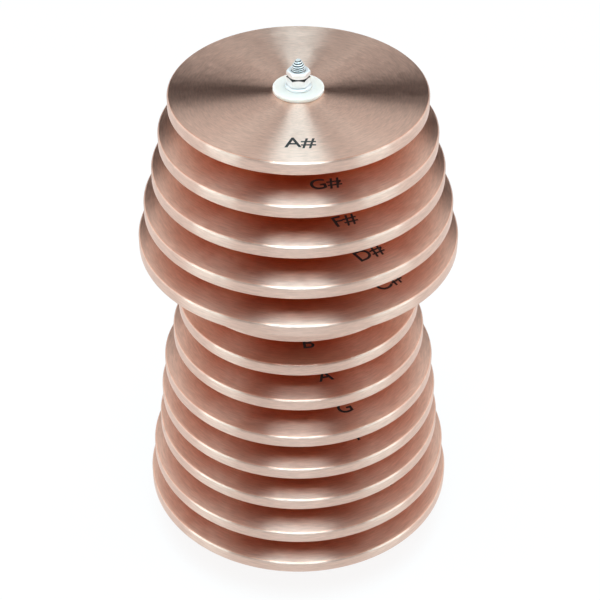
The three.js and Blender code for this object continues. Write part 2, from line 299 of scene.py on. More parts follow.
class CrotaleStudioSettings(bpy.types.PropertyGroup):
    """The floor, the lamps and the camera."""

    distance: number_setting(
        "Distance", "Distance from the camera to its aim", 0.7157, min=0.1, unit="LENGTH"
    )
    elevation: number_setting(
        "Elevation",
        "How far above the horizon the camera looks from",
        math.radians(38.21),
        subtype="ANGLE",
    )
    aim_below_top: length_setting("Aim", "How far below the top disc the camera aims", 101)
    lens: number_setting("Lens", "Focal length on a 36 mm sensor", 103.6, min=1)
    shift: number_setting("Shift", "Sideways shift of the lens", 0.0027)
    overhead: number_setting("Overhead", "Level of the strip overhead, where 1 is white", 9.5)
    key: number_setting("Key", "Level of the lamp above the camera, where 1 is white", 3.4)
    side: number_setting("Sides", "Level of the boxes at both sides, where 1 is white", 3.0)
    walls: number_setting("Walls", "Level of the walls at both sides, as a share", 1.25)
    floor_white: share_setting("Floor White", "How much of the floor's white is its own", 0.86)
    ceiling: colour_setting("Ceiling", "Colour of the lit ceiling and walls", (0.93, 0.98, 1.0))
    surroundings: colour_setting(
        "Surroundings", "Colour of the dark room below the ceiling", (0.02, 0.006, 0.004)
    )


# Materials


def add_node(tree, kind, **settings):
    """A new node of a kind, with its own settings."""
    node = tree.nodes.new(kind)
    for name, value in settings.items():
        setattr(node, name, value)
    return node


def fed_node(tree, source, kind, **settings):
    """A new node whose first input comes from a socket."""
    node = add_node(tree, kind, **settings)
    tree.links.new(source, node.inputs[0])
    return node


def feed(tree, value, target):
    """Links a socket to an input, or gives the input that value."""
    if isinstance(value, bpy.types.NodeSocket):
        tree.links.new(value, target)
    else:
        target.default_value = value


def set_inputs(node, **values):
    """Sets a node's inputs by their names, with an underscore for each space."""
    for name, value in values.items():
        node.inputs[name.replace("_", " ")].default_value = value


def calculate(tree, operation, *values):
    """The result of a sum on sockets or numbers."""
    node = add_node(tree, "ShaderNodeMath", operation=operation)
    for value, target in zip(values, node.inputs):
        feed(tree, value, target)
    return node.outputs[0]


def new_group(name, outputs, colours=(), **numbers):
    """An empty shader group that takes a vector, colours and numbers, and its end nodes."""
    group = bpy.data.node_groups.new(name, "ShaderNodeTree")
    group.interface.new_socket("Vector", in_out="INPUT", socket_type="NodeSocketVector")
    for each in colours:
        group.interface.new_socket(each, in_out="INPUT", socket_type="NodeSocketColor")
    for each, default in numbers.items():
        title = each.replace("_", " ")
        socket = group.interface.new_socket(title, in_out="INPUT", socket_type="NodeSocketFloat")
        socket.default_value = default
    for each in outputs:
        group.interface.new_socket(each, in_out="OUTPUT", socket_type="NodeSocketFloat")
    return group, group.nodes.new("NodeGroupInput"), group.nodes.new("NodeGroupOutput")


def split_height(group, vector):
    """A vector without its height, and the height."""
    split = fed_node(group, vector, "ShaderNodeSeparateXYZ")
    level = fed_node(group, split.outputs["X"], "ShaderNodeCombineXYZ")
    group.links.new(split.outputs["Y"], level.inputs["Y"])
    return level.outputs[0], split.outputs["Z"]


def vector_sum(group, operation, vector):
    """The node of a sum on one vector."""
    return fed_node(group, vector, "ShaderNodeVectorMath", operation=operation)


def turning_marks(name):
    """Marks that a lathe tool leaves round +Z: fine ones, and broader bands of them."""
    outputs = ("Fine", "Bands")
    group, start, end = new_group(name, outputs, Marks_per_Metre=1800.0, Breaks_per_Turn=60.0)
    level, height = split_height(group, start.outputs["Vector"])
    radius = vector_sum(group, "LENGTH", level)
    bearing = vector_sum(group, "NORMALIZE", level)
    run = vector_sum(group, "SCALE", bearing.outputs[0])
    breaks = calculate(group, "DIVIDE", start.outputs["Breaks per Turn"], FULL_TURN)
    group.links.new(breaks, run.inputs["Scale"])
    across = calculate(group, "ADD", radius.outputs["Value"], height)
    across = calculate(group, "MULTIPLY", across, start.outputs["Marks per Metre"])
    along = fed_node(group, run.outputs[0], "ShaderNodeSeparateXYZ")
    for output, slowing, detail in (("Fine", 1.0, 3.0), ("Bands", 0.14, 2.0)):
        place = fed_node(group, along.outputs["X"], "ShaderNodeCombineXYZ")
        group.links.new(along.outputs["Y"], place.inputs["Y"])
        group.links.new(calculate(group, "MULTIPLY", across, slowing), place.inputs["Z"])
        noise = fed_node(group, place.outputs[0], "ShaderNodeTexNoise")
        set_inputs(noise, Scale=1.0, Detail=detail, Roughness=0.6)
        group.links.new(noise.outputs["Fac"], end.inputs[output])
    return group


def handling(name):
    """Faint cloudy smudges from hands, with finer mottling in them."""
    outputs = ("Smudges", "Mottle")
    group, start, end = new_group(name, outputs, Smudges_per_Metre=45.0, Cover=0.5)
    cloud = fed_node(group, start.outputs["Vector"], "ShaderNodeTexNoise")
    set_inputs(cloud, Detail=3.0, Distortion=0.6)
    group.links.new(start.outputs["Smudges per Metre"], cloud.inputs["Scale"])
    threshold = calculate(group, "SUBTRACT", 1.0, start.outputs["Cover"])
    smudges = calculate(group, "SUBTRACT", cloud.outputs["Fac"], threshold)
    smudges = calculate(group, "MULTIPLY", smudges, SMUDGE_CONTRAST)
    smudges = calculate(group, "MAXIMUM", smudges, 0.0)
    group.links.new(calculate(group, "MINIMUM", smudges, 1.0), end.inputs["Smudges"])
    finer = fed_node(group, start.outputs["Vector"], "ShaderNodeTexNoise")
    set_inputs(finer, Detail=2.0)
    scale = calculate(group, "MULTIPLY", start.outputs["Smudges per Metre"], MOTTLE_FINENESS)
    group.links.new(scale, finer.inputs["Scale"])
    group.links.new(finer.outputs["Fac"], end.inputs["Mottle"])
    return group


def title_of(make):
    """The name of what a function makes, from the function's own name."""
    return make.__name__.replace("_", " ").title()


def new_material(name):
    """A material with its tree, its main shader and its Object coordinates."""
    material = bpy.data.materials.new(name)
    material.use_nodes = True
    tree = material.node_tree
    shader = tree.nodes["Principled BSDF"]
    place = add_node(tree, "ShaderNodeTexCoord")
    return material, tree, shader, place.outputs["Object"]


def place_group(tree, make, vector, **values):
    """A group in a material, made at its first use, with coordinates and its own values."""
    name = title_of(make)
    group = bpy.data.node_groups.get(name) or make(name)
    node = fed_node(tree, vector, "ShaderNodeGroup", node_tree=group)
    set_inputs(node, **values)
    return node


def blend(tree, share, first, second):
    """A colour between two colours or colour sockets, by a socket's value."""
    node = fed_node(tree, share, "ShaderNodeMix", data_type="RGBA")
    feed(tree, first, node.inputs["A"])
    feed(tree, second, node.inputs["B"])
    return node.outputs["Result"]


def map_range(tree, value, kind, start, end, low=0.0, high=1.0):
    """A socket's value, taken from one range to another."""
    node = fed_node(tree, value, "ShaderNodeMapRange", interpolation_type=kind)
    set_inputs(node, From_Min=start, From_Max=end, To_Min=low, To_Max=high)
    return node.outputs[0]


def spread(tree, value, low, high):
    """A noise's usual range spread between two numbers."""
    return map_range(tree, value, "LINEAR", *NOISE_RANGE, low, high)


def fade(tree, value, limits, place=0):
    """A smooth step from 0 at one limit to 1 at the other, both measured from a place."""
    start, end = limits
    return map_range(tree, value, "SMOOTHSTEP", place + start, place + end)


def scaled(colour, share):
    """A colour made darker or lighter, with its alpha."""
    return (*(min(1.0, channel * share) for channel in colour), 1.0)


def shades_of(tree, share, colour, shades):
    """A colour between two shades of itself, by a socket's value."""
    return blend(tree, share, *(scaled(colour, shade) for shade in shades))


def feed_shader(tree, shader, colour, roughness):
    tree.links.new(colour, shader.inputs["Base Color"])
    tree.links.new(roughness, shader.inputs["Roughness"])


def raise_surface(tree, shader, height, depth, strength=1.0):
    """Feeds a height into the shader's normal."""
    bump = add_node(tree, "ShaderNodeBump")
    set_inputs(bump, Strength=strength, Distance=depth)
    tree.links.new(height, bump.inputs["Height"])
    tree.links.new(bump.outputs["Normal"], shader.inputs["Normal"])


def round_grain(tree, shader):
    """Stretches reflections across marks that run round +Z."""
    tangent = add_node(tree, "ShaderNodeTangent", direction_type="RADIAL", axis="Z")
    tree.links.new(tangent.outputs[0], shader.inputs["Tangent"])
    shader.inputs["Anisotropic"].default_value = 1.0
    shader.inputs["Anisotropic Rotation"].default_value = 0.25


def turned_bronze(name, sizes):
    """Bell bronze as the lathe left it: pinkish, with fine marks round the axis."""
    material, tree, shader, vector = new_material(name)
    marks = place_group(
        tree,
        turning_marks,
        vector,
        Marks_per_Metre=sizes.marks_per_metre,
        Breaks_per_Turn=sizes.breaks_per_turn,
    )
    fine, bands = marks.outputs["Fine"], marks.outputs["Bands"]
    hands = place_group(tree, handling, vector, Cover=0.45)
    shade = spread(tree, fine, 0.0, 1.0)
    light = shades_of(tree, shade, sizes.bronze, OPEN_SHADES)
    # Painted shade: a deeper red bronze where another disc covers this one, on the underside and
    # partly on the boss
    dark = shades_of(tree, shade, sizes.sheltered, PAINTED_SHADE_TONES)
    cut = shades_of(tree, shade, sizes.rim, OPEN_SHADES)
    painted_shade = add_node(tree, "ShaderNodeAttribute", attribute_name=PAINTED_SHADE)
    rim = add_node(tree, "ShaderNodeAttribute", attribute_name=RIM)
    colour = blend(tree, painted_shade.outputs["Fac"], light, dark)
    colour = blend(tree, rim.outputs["Fac"], colour, cut)
    low, high = sizes.roughness - BAND_ROUGHNESS, sizes.roughness + BAND_ROUGHNESS
    worn = spread(tree, bands, low, high)
    worn = calculate(tree, "ADD", worn, spread(tree, fine, -FINE_ROUGHNESS, FINE_ROUGHNESS))
    smudged = calculate(tree, "MULTIPLY", hands.outputs["Smudges"], SMUDGE_ROUGHNESS)
    feed_shader(tree, shader, colour, calculate(tree, "ADD", worn, smudged))
    shader.inputs["Metallic"].default_value = 1.0
    round_grain(tree, shader)
    raise_surface(tree, shader, fine, sizes.mark_depth)
    return material


def natural_nylon(name, sizes):
    """Milky nylon, turned from bar, that lets a little light in."""
    material, tree, shader, vector = new_material(name)
    marks = place_group(tree, turning_marks, vector, Marks_per_Metre=3000.0)
    hands = place_group(tree, handling, vector, Cover=0.5)
    colour = shades_of(tree, hands.outputs["Smudges"], sizes.nylon, (1.0, 0.94))
    feed_shader(tree, shader, colour, spread(tree, marks.outputs["Bands"], 0.38, 0.5))
    shader.inputs["Subsurface Weight"].default_value = 1.0
    shader.inputs["Subsurface Radius"].default_value = (1.0, 0.9, 0.8)
    shader.inputs["Subsurface Scale"].default_value = 4 * MM
    raise_surface(tree, shader, marks.outputs["Fine"], depth=0.006 * MM)
    return material


def round_place(name):
    """A place's height, and its distance from +Z."""
    group, start, end = new_group(name, ("Height", "Radius"))
    level, height = split_height(group, start.outputs["Vector"])
    radius = vector_sum(group, "LENGTH", level)
    group.links.new(height, end.inputs["Height"])
    group.links.new(radius.outputs["Value"], end.inputs["Radius"])
    return group


def shaded_zinc(name):
    """The colour and roughness of zinc plate that is darkened by a share of painted shade."""
    outputs = ("Roughness", "Mottle")
    group, start, end = new_group(name, outputs, ("Zinc", "Dirt"), Soil=0.0)
    group.interface.new_socket("Colour", in_out="OUTPUT", socket_type="NodeSocketColor")
    hands = place_group(
        group, handling, start.outputs["Vector"], Smudges_per_Metre=220.0, Cover=0.5
    )
    dull = add_node(group, "ShaderNodeMix", data_type="RGBA", blend_type="MULTIPLY")
    dull.inputs["Factor"].default_value = 1.0
    group.links.new(start.outputs["Zinc"], dull.inputs["A"])
    shade = shades_of(group, hands.outputs["Mottle"], WHITE, (0.9, 1.0))
    group.links.new(shade, dull.inputs["B"])
    colour = blend(group, start.outputs["Soil"], dull.outputs["Result"], start.outputs["Dirt"])
    group.links.new(colour, end.inputs["Colour"])
    plain = spread(group, hands.outputs["Mottle"], 0.3, 0.42)
    shaded_roughness = calculate(group, "MULTIPLY", start.outputs["Soil"], SHADE_ROUGHNESS)
    group.links.new(calculate(group, "MAXIMUM", plain, shaded_roughness), end.inputs["Roughness"])
    group.links.new(hands.outputs["Mottle"], end.inputs["Mottle"])
    return group


def zinc_plate(name, sizes):
    """Clear zinc plate on steel, with the sockets that say where it takes painted shade."""
    material, tree, shader, vector = new_material(name)
    place = place_group(tree, round_place, vector)
    plate = place_group(tree, shaded_zinc, vector)
    set_inputs(plate, Zinc=(*sizes.zinc, 1), Dirt=(*sizes.soil, 1))
    feed_shader(tree, shader, plate.outputs["Colour"], plate.outputs["Roughness"])
    shader.inputs["Metallic"].default_value = 0.6
    raise_surface(tree, shader, plate.outputs["Mottle"], depth=0.01 * MM)
    return material, tree, place.outputs["Height"], place.outputs["Radius"], plate.inputs["Soil"]


def threaded_zinc(name, sizes):
    """Zinc plate on the rod, with painted shade down in the roots of its threads and of those on
    its cone.
    """
    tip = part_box("tie_rod")[1].z
    slope = sizes.cone_depth / sizes.cone_length
    material, tree, height, radius, soil = zinc_plate(name, sizes)
    cone = calculate(tree, "MULTIPLY", calculate(tree, "SUBTRACT", tip, height), slope)
    cone = calculate(tree, "ADD", cone, sizes.crest - sizes.cone_depth)
    surface = calculate(tree, "MINIMUM", cone, sizes.crest)
    depth = calculate(tree, "SUBTRACT", 1.0, calculate(tree, "DIVIDE", radius, surface))
    below = fade(tree, height, TIP_SHADE, tip)
    deep = fade(tree, depth, THREAD_SHADE)
    tree.links.new(calculate(tree, "MULTIPLY", deep, below), soil)
    return material


def nut_zinc(name, sizes):
    """Zinc plate on the nuts, with painted shade on the chamfers where the two on top meet and
    round their bores.
    """
    joint = (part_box("clamp_nut")[1].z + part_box("jam_nut")[0].z) / 2
    material, tree, height, radius, soil = zinc_plate(name, sizes)
    away = calculate(tree, "ABSOLUTE", calculate(tree, "SUBTRACT", height, joint))
    chamfer = calculate(tree, "SUBTRACT", radius, sizes.nut_face)
    chamfer = calculate(tree, "MULTIPLY", chamfer, math.tan(THIRTY_DEGREES))
    between = fade(tree, calculate(tree, "SUBTRACT", away, chamfer), JOINT_SHADE)
    bore = fade(tree, radius, NUT_BORE_SHADE, sizes.radius)
    tree.links.new(calculate(tree, "MAXIMUM", between, bore), soil)
    return material


def washer_zinc(name, sizes):
    """Zinc plate on the washers, with painted shade inside their bores."""
    material, tree, _, radius, soil = zinc_plate(name, sizes)
    tree.links.new(fade(tree, radius, WASHER_BORE_SHADE, sizes.radius), soil)
    return material


def moulded_rubber(name, sizes):
    """Matt black rubber with a dusty bloom and the mould's fine grain."""
    material, tree, shader, vector = new_material(name)
    hands = place_group(tree, handling, vector, Smudges_per_Metre=70.0, Cover=0.5)
    colour = shades_of(tree, hands.outputs["Smudges"], sizes.rubber, (1.0, 1.9))
    feed_shader(tree, shader, colour, spread(tree, hands.outputs["Mottle"], 0.62, 0.86))
    grain = fed_node(tree, vector, "ShaderNodeTexNoise")
    set_inputs(grain, Scale=2600.0)
    raise_surface(tree, shader, grain.outputs["Fac"], depth=0.05 * MM, strength=0.6)
    return material


def printed_ink(name, sizes):
    """Black screen print, slightly uneven where it sits on the turning marks."""
    material, tree, shader, vector = new_material(name)
    marks = place_group(tree, turning_marks, vector, Marks_per_Metre=2600.0)
    colour = shades_of(tree, marks.outputs["Bands"], sizes.ink, (1.0, 2.0))
    feed_shader(tree, shader, colour, spread(tree, marks.outputs["Fine"], 0.42, 0.62))
    return material


def shared(make, *values):
    """The material that a function makes, made the first time that a piece asks for it."""
    name = title_of(make)
    return bpy.data.materials.get(name) or make(name, *values)


# Shapes


def spin_round(shape, steps, **options):
    """Turns all of a shape once round +Z."""
    bmesh.ops.spin(
        shape,
        geom=shape.verts[:] + shape.edges[:],
        cent=(0, 0, 0),
        axis=(0, 0, 1),
        angle=FULL_TURN,
        steps=steps,
        **options,
    )
    bmesh.ops.remove_doubles(shape, verts=shape.verts[:], dist=MERGE_DISTANCE)


def turned_shape(outline, sides):
    """A ring with that closed outline of radii and heights, turned on +Z."""
    shape = bmesh.new()
    corners = [shape.verts.new((radius, 0, height)) for radius, height in outline]
    for corner, after in zip(corners, corners[1:] + corners[:1]):
        shape.edges.new((corner, after))
    spin_round(shape, sides, use_merge=True)
    bmesh.ops.recalc_face_normals(shape, faces=shape.faces[:])
    return shape


def soften(shape, edges, width, segments=2):
    bmesh.ops.bevel(
        shape,
        geom=edges,
        offset=width,
        offset_type="OFFSET",
        affect="EDGES",
        segments=segments,
        profile=0.5,
        material=-1,
    )


def round_edges(shape, *places):
    """The edges that run round +Z at given radii and heights."""

    def on_ring(vert, radius, height):
        away = math.hypot(vert.co.x, vert.co.y) - radius
        return max(abs(away), abs(vert.co.z - height)) < RING_TOLERANCE

    return [
        edge
        for edge in shape.edges
        if any(all(on_ring(vert, *place) for vert in edge.verts) for place in places)
    ]


def new_mesh(name, shape):
    """A mesh of a shape, which is used up."""
    mesh = bpy.data.meshes.new(name)
    shape.to_mesh(mesh)
    shape.free()
    return mesh


def new_object(name, data):
    """An object in the scene with that data."""
    made = bpy.data.objects.new(name, data)
    bpy.context.scene.collection.objects.link(made)
    return made


def finished_shape(made):
    """What an object looks like with its modifiers done, as a shape."""
    bpy.context.view_layer.update()
    evaluated = made.evaluated_get(bpy.context.evaluated_depsgraph_get())
    shape = bmesh.new()
    shape.from_mesh(evaluated.to_mesh())
    evaluated.to_mesh_clear()
    return shape


def finish_piece(name, shape, material, body, nodes=()):
    """Makes a shape a piece of a body, in place of the CAD nodes that it replaces."""
    for face in shape.faces:
        face.smooth = True
    for edge in shape.edges:
        edge.smooth = edge.calc_face_angle(0) < CRISP_ANGLE
    mesh = new_mesh(name, shape)
    mesh.materials.append(material)
    piece = new_object(name, mesh)
    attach(piece, body)
    if nodes:
        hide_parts(*nodes)


def coat_node(node, material):
    """Gives a CAD node that isn't replaced a better material."""
    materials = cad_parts[node].data.materials
    materials.clear()
    materials.append(material)


def disc_shape(node, above, sizes):
    """One crotale: a flat plate with chamfered edges and a boss with a hollow root.

    Its surface is marked for painted shade below, and on top as far as the disc above it covers it.
    Its rim is marked too.
    """
    low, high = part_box(node)
    radius = outer_radius(node)
    covered = outer_radius(above) if above else 0
    underside = high.z - sizes.plate
    root = sizes.boss_root
    outline = [
        (sizes.bore_radius, low.z),
        (sizes.boss_radius - sizes.boss_edge, low.z),
        (sizes.boss_radius, low.z + sizes.boss_edge),
    ]
    for step in range(ARC_STEPS + 1):
        angle = math.pi / 2 * step / ARC_STEPS
        reach = sizes.boss_radius + root * (1 - math.cos(angle))
        outline.append((reach, underside - root * (1 - math.sin(angle))))
    rim_corners = [
        (radius - sizes.bottom_edge, underside),
        (radius, underside + sizes.bottom_edge),
        (radius, high.z - sizes.top_edge),
        (radius - sizes.top_edge, high.z),
    ]
    outline += rim_corners
    for share in PAINTED_SHADE_RINGS:
        reach = covered - share * sizes.shade_reach
        if sizes.boss_radius < reach < radius - 2 * sizes.top_edge:
            outline.append((reach, high.z))
    outline.append((sizes.bore_radius, high.z))
    shape = turned_shape(outline, sizes.sides)
    soften(shape, round_edges(shape, *rim_corners), sizes.softening)
    # Painted shade: full on the underside, part on the boss, and on top deepening inwards from the
    # edge of the disc above
    painted_shade = shape.verts.layers.float.new(PAINTED_SHADE)
    rim = shape.verts.layers.float.new(RIM)
    for vert in shape.verts:
        reach = math.hypot(vert.co.x, vert.co.y)
        vert[rim] = reach > radius - sizes.softening
        if vert.co.z > high.z - LEVEL_TOLERANCE:
            share = min(1, max(0, (covered - reach) / sizes.shade_reach))
            vert[painted_shade] = share**sizes.shade_curve
        elif reach < sizes.boss_radius + root / 2:
            vert[painted_shade] = sizes.boss_shade
        elif reach < radius - 2 * sizes.bottom_edge:
            vert[painted_shade] = 1
    return shape


def bush_shape(node, sizes):
    """A flanged bush, its flange on top of the disc and its sleeve down the disc's bore."""
    low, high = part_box(node)
    flange = outer_radius(node)
    seat = high.z - sizes.flange
    outline = [
        (sizes.bore_radius, low.z),
        (sizes.sleeve_radius, low.z),
        (sizes.sleeve_radius, seat),
        (flange, seat),
        (flange, high.z),
        (sizes.bore_radius, high.z),
    ]
    shape = turned_shape(outline, sizes.sides)
    soften(shape, round_edges(shape, (flange, seat), (flange, high.z)), sizes.edge, 3)
    return shape


def washer_shape(node, bore, edge, sides):
    low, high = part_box(node)
    outer = outer_radius(node)
    outline = [(bore, low.z), (outer, low.z), (outer, high.z), (bore, high.z)]
    shape = turned_shape(outline, sides)
    rings = [(outer, low.z), (outer, high.z), (bore, high.z)]
    soften(shape, round_edges(shape, *rings), edge, 3)
    return shape


def cut_level(shape, height, keep_above):
    """Cuts a shape off at a height and closes the cut."""
    bmesh.ops.bisect_plane(
        shape,
        geom=shape.verts[:] + shape.edges[:] + shape.faces[:],
        dist=MERGE_DISTANCE / 10,
        plane_co=(0, 0, height),
        plane_no=(0, 0, 1),
        clear_inner=keep_above,
        clear_outer=not keep_above,
    )
    rim = [edge for edge in shape.edges if edge.is_boundary]
    rim = [edge for edge in rim if all(abs(v.co.z - height) < MERGE_DISTANCE for v in edge.verts)]
    bmesh.ops.edgenet_fill(shape, edges=rim)


def thread_shape(low, high, tip, depth, length, sizes):
    """A right-hand thread between two heights, which gets thinner towards its tip."""
    root = sizes.crest - sizes.thread_depth
    crown = CREST_HEIGHT * sizes.crest_width
    flank = (sizes.thread_depth - crown) * math.tan(THIRTY_DEGREES)
    root_flat = sizes.pitch - sizes.crest_width - 2 * flank
    profile = [(root, 0), (root, root_flat)]
    for step in range(ARC_STEPS + 1):
        angle = math.pi * step / ARC_STEPS
        across = sizes.crest_width * (1 - math.cos(angle)) / 2
        profile.append((sizes.crest - crown * (1 - math.sin(angle)), root_flat + flank + across))
    first = math.floor(low / sizes.pitch) - SPARE_TURNS
    last = math.ceil(high / sizes.pitch) + SPARE_TURNS
    shape = bmesh.new()
    before = None
    for turn in range(first, last):
        for radius, rise in profile:
            corner = shape.verts.new((radius, 0, turn * sizes.pitch + rise))
            if before:
                shape.edges.new((before, corner))
            before = corner
    spin_round(shape, sizes.sides, dvec=(0, 0, sizes.pitch / sizes.sides))
    cut_level(shape, low, True)
    cut_level(shape, high, False)
    for vert in shape.verts:
        missing = max(0, depth * (1 - abs(vert.co.z - tip) / length))
        vert.co.x *= 1 - missing / sizes.crest
        vert.co.y *= 1 - missing / sizes.crest
    bmesh.ops.recalc_face_normals(shape, faces=shape.faces[:])
    return shape


def rod_shape(sizes):
    """The tie rod: a plain shank with a thread at each end."""
    low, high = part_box("tie_rod")
    shank_low = low.z + sizes.bottom_thread
    shank_high = high.z - sizes.top_thread
    shape = bmesh.new()
    half = (shank_high - shank_low) / 2
    bmesh.ops.create_cone(
        shape,
        cap_ends=True,
        segments=sizes.sides,
        radius1=sizes.radius,
        radius2=sizes.radius,
        depth=2 * half,
        matrix=Matrix.Translation((0, 0, shank_low + half)),
    )
    for start, end, tip, depth, length in (
        (low.z, shank_low, low.z, sizes.end_chamfer, sizes.end_chamfer),
        (shank_high, high.z, high.z, sizes.cone_depth, sizes.cone_length),
    ):
        mesh = new_mesh("thread", thread_shape(start, end, tip, depth, length, sizes))
        shape.from_mesh(mesh)
        bpy.data.meshes.remove(mesh)
    return shape


def intersection(first, second):
    """The space that two shapes share, as a new shape."""
    blanks = [new_object("blank", new_mesh("blank", shape)) for shape in (first, second)]
    cut = blanks[0].modifiers.new("Cut", "BOOLEAN")
    cut.operation = "INTERSECT"
    cut.solver = "EXACT"
    cut.object = blanks[1]
    result = finished_shape(blanks[0])
    for blank in blanks:
        mesh = blank.data
        bpy.data.objects.remove(blank)
        bpy.data.meshes.remove(mesh)
    return result


def nut_shape(node, sizes):
    """A hexagon nut with a flat towards -Y, its corners chamfered and its bore countersunk."""
    low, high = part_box(node)
    corner = sizes.across_flats / 2 / math.cos(THIRTY_DEGREES)
    hexagon = bmesh.new()
    bmesh.ops.create_circle(hexagon, cap_ends=True, segments=6, radius=corner)
    turn = Matrix.Rotation(THIRTY_DEGREES, 3, "Z")
    bmesh.ops.rotate(hexagon, verts=hexagon.verts[:], matrix=turn)
    bmesh.ops.translate(hexagon, verts=hexagon.verts[:], vec=(0, 0, low.z))
    raised = bmesh.ops.extrude_face_region(hexagon, geom=hexagon.faces[:])
    top = [part for part in raised["geom"] if isinstance(part, bmesh.types.BMVert)]
    bmesh.ops.translate(hexagon, verts=top, vec=(0, 0, high.z - low.z))
    bmesh.ops.recalc_face_normals(hexagon, faces=hexagon.faces[:])
    upright = [e for e in hexagon.edges if abs(e.verts[0].co.z - e.verts[1].co.z) > MM]
    soften(hexagon, upright, sizes.nut_corner)
    bore = sizes.crest + sizes.nut_clearance
    sink = sizes.countersink
    face = sizes.nut_face
    outside = corner + CUTTER_MARGIN
    drop = (outside - face) * math.tan(THIRTY_DEGREES)
    half = [(bore, sink), (bore + sink, 0), (face, 0), (outside, drop)]
    outline = [(radius, low.z + rise) for radius, rise in half]
    outline += [(radius, high.z - rise) for radius, rise in reversed(half)]
    return intersection(hexagon, turned_shape(outline, sizes.sides))


def foot_shape(sizes):
    """The round foot, recessed from below and bored for the rod."""
    low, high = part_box("rubber_foot")
    outer = outer_radius("rubber_foot")
    ceiling = high.z - sizes.floor
    outline = [
        (sizes.recess_radius, low.z),
        (outer, low.z),
        (outer - sizes.taper, high.z),
        (sizes.bore_radius, high.z),
        (sizes.bore_radius, ceiling),
        (sizes.recess_radius, ceiling),
    ]
    shape = turned_shape(outline, sizes.sides)
    for radius, height, width, segments in (
        (outer, low.z, sizes.edge, 5),
        (outer - sizes.taper, high.z, sizes.top_edge, 4),
        (sizes.recess_radius, low.z, sizes.recess_edge, 3),
    ):
        soften(shape, round_edges(shape, (radius, height)), width, segments)
    return shape


def mark_shape(letters, node, turn, sizes):
    """A printed note name on a disc's top face, turned about the disc's axis."""
    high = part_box(node)[1]
    curve = bpy.data.curves.new("letters", "FONT")
    curve.body = letters
    curve.size = sizes.letter_height
    curve.align_x = "CENTER"
    curve.align_y = "CENTER"
    curve.offset = sizes.weight
    curve.extrude = sizes.ink_depth / 2
    curve.resolution_u = 6
    letter_object = new_object("letters", curve)
    shape = finished_shape(letter_object)
    bpy.data.objects.remove(letter_object)
    bpy.data.curves.remove(curve)
    bmesh.ops.remove_doubles(shape, verts=shape.verts[:], dist=MERGE_DISTANCE)
    reach = outer_radius(node) - sizes.from_rim
    shift = Matrix.Translation((0, -reach, high.z + INK_LIFT * sizes.ink_depth))
    place = Matrix.Rotation(math.radians(turn), 4, "Z") @ shift
    bmesh.ops.transform(shape, matrix=place, verts=shape.verts[:])
    bmesh.ops.recalc_face_normals(shape, faces=shape.faces[:])
    return shape


# Operators


class CrotaleDiscs(bpy.types.Operator):
    """Turn the thirteen bronze discs"""

    bl_idname = "crotales.discs"
    bl_label = "Bronze Discs"

    def execute(self, context):
        sizes = context.scene.crotale_discs
        bronze = shared(turned_bronze, sizes)
        above = None
        for note, _, _ in DISCS:
            node = f"crotale_{note}"
            shape = disc_shape(node, above, sizes)
            finish_piece(f"disc_{note}", shape, bronze, f"disc_{note}", [node])
            above = node
        return {"FINISHED"}


class CrotaleMarks(bpy.types.Operator):
    """Print each disc's note name near its rim"""

    bl_idname = "crotales.marks"
    bl_label = "Note Names"

    def execute(self, context):
        sizes = context.scene.crotale_marks
        ink = shared(printed_ink, sizes)
        for note, letters, turn in DISCS:
            shape = mark_shape(letters, f"crotale_{note}", turn, sizes)
            finish_piece(f"note_name_{note}", shape, ink, f"disc_{note}")
        return {"FINISHED"}


class CrotaleBushes(bpy.types.Operator):
    """Make the thirteen flanged nylon bushes and the plain nylon washer"""

    bl_idname = "crotales.bushes"
    bl_label = "Nylon Bushes"

    def execute(self, context):
        sizes = context.scene.crotale_bushes
        nylon = shared(natural_nylon, sizes)
        for note, _, _ in DISCS:
            node = f"nylon_bush_{note}"
            shape = bush_shape(node, sizes)
            finish_piece(f"bush_{note}", shape, nylon, "stand", [node])
        node = "base_nylon_washer"
        shape = washer_shape(node, sizes.bore_radius, sizes.edge, sizes.sides)
        finish_piece("base_washer", shape, nylon, "stand", [node])
        coat_node("lock_nut_nylon_ring", nylon)
        return {"FINISHED"}


class CrotaleRod(bpy.types.Operator):
    """Cut the tie rod with a thread at each end"""

    bl_idname = "crotales.rod"
    bl_label = "Tie Rod"

    def execute(self, context):
        sizes = context.scene.crotale_rod
        zinc = shared(threaded_zinc, sizes)
        finish_piece("rod", rod_shape(sizes), zinc, "stand", ["tie_rod"])
        return {"FINISHED"}


class CrotaleFasteners(bpy.types.Operator):
    """Make the nuts and the steel washers on the tie rod"""

    bl_idname = "crotales.fasteners"
    bl_label = "Nuts and Washers"

    def execute(self, context):
        sizes = context.scene.crotale_rod
        bore = context.scene.crotale_bushes.bore_radius
        nut_finish = shared(nut_zinc, sizes)
        finish = shared(washer_zinc, sizes)
        for node, name in (("clamp_nut", "full_nut"), ("jam_nut", "thin_nut")):
            finish_piece(name, nut_shape(node, sizes), nut_finish, "nuts", [node])
        for node, name, body in (
            ("top_steel_washer", "top_washer", "clamp_washer"),
            ("foot_steel_washer", "foot_washer", "stand"),
        ):
            shape = washer_shape(node, bore, sizes.washer_edge, sizes.sides)
            finish_piece(name, shape, finish, body, [node])
        coat_node("foot_lock_nut", finish)
        return {"FINISHED"}


class CrotaleFoot(bpy.types.Operator):
    """Mould the rubber foot that the stack stands on"""

    bl_idname = "crotales.foot"
    bl_label = "Rubber Foot"

    def execute(self, context):
        sizes = context.scene.crotale_foot
        rubber = shared(moulded_rubber, sizes)
        finish_piece("foot", foot_shape(sizes), rubber, "stand", ["rubber_foot"])
        return {"FINISHED"}


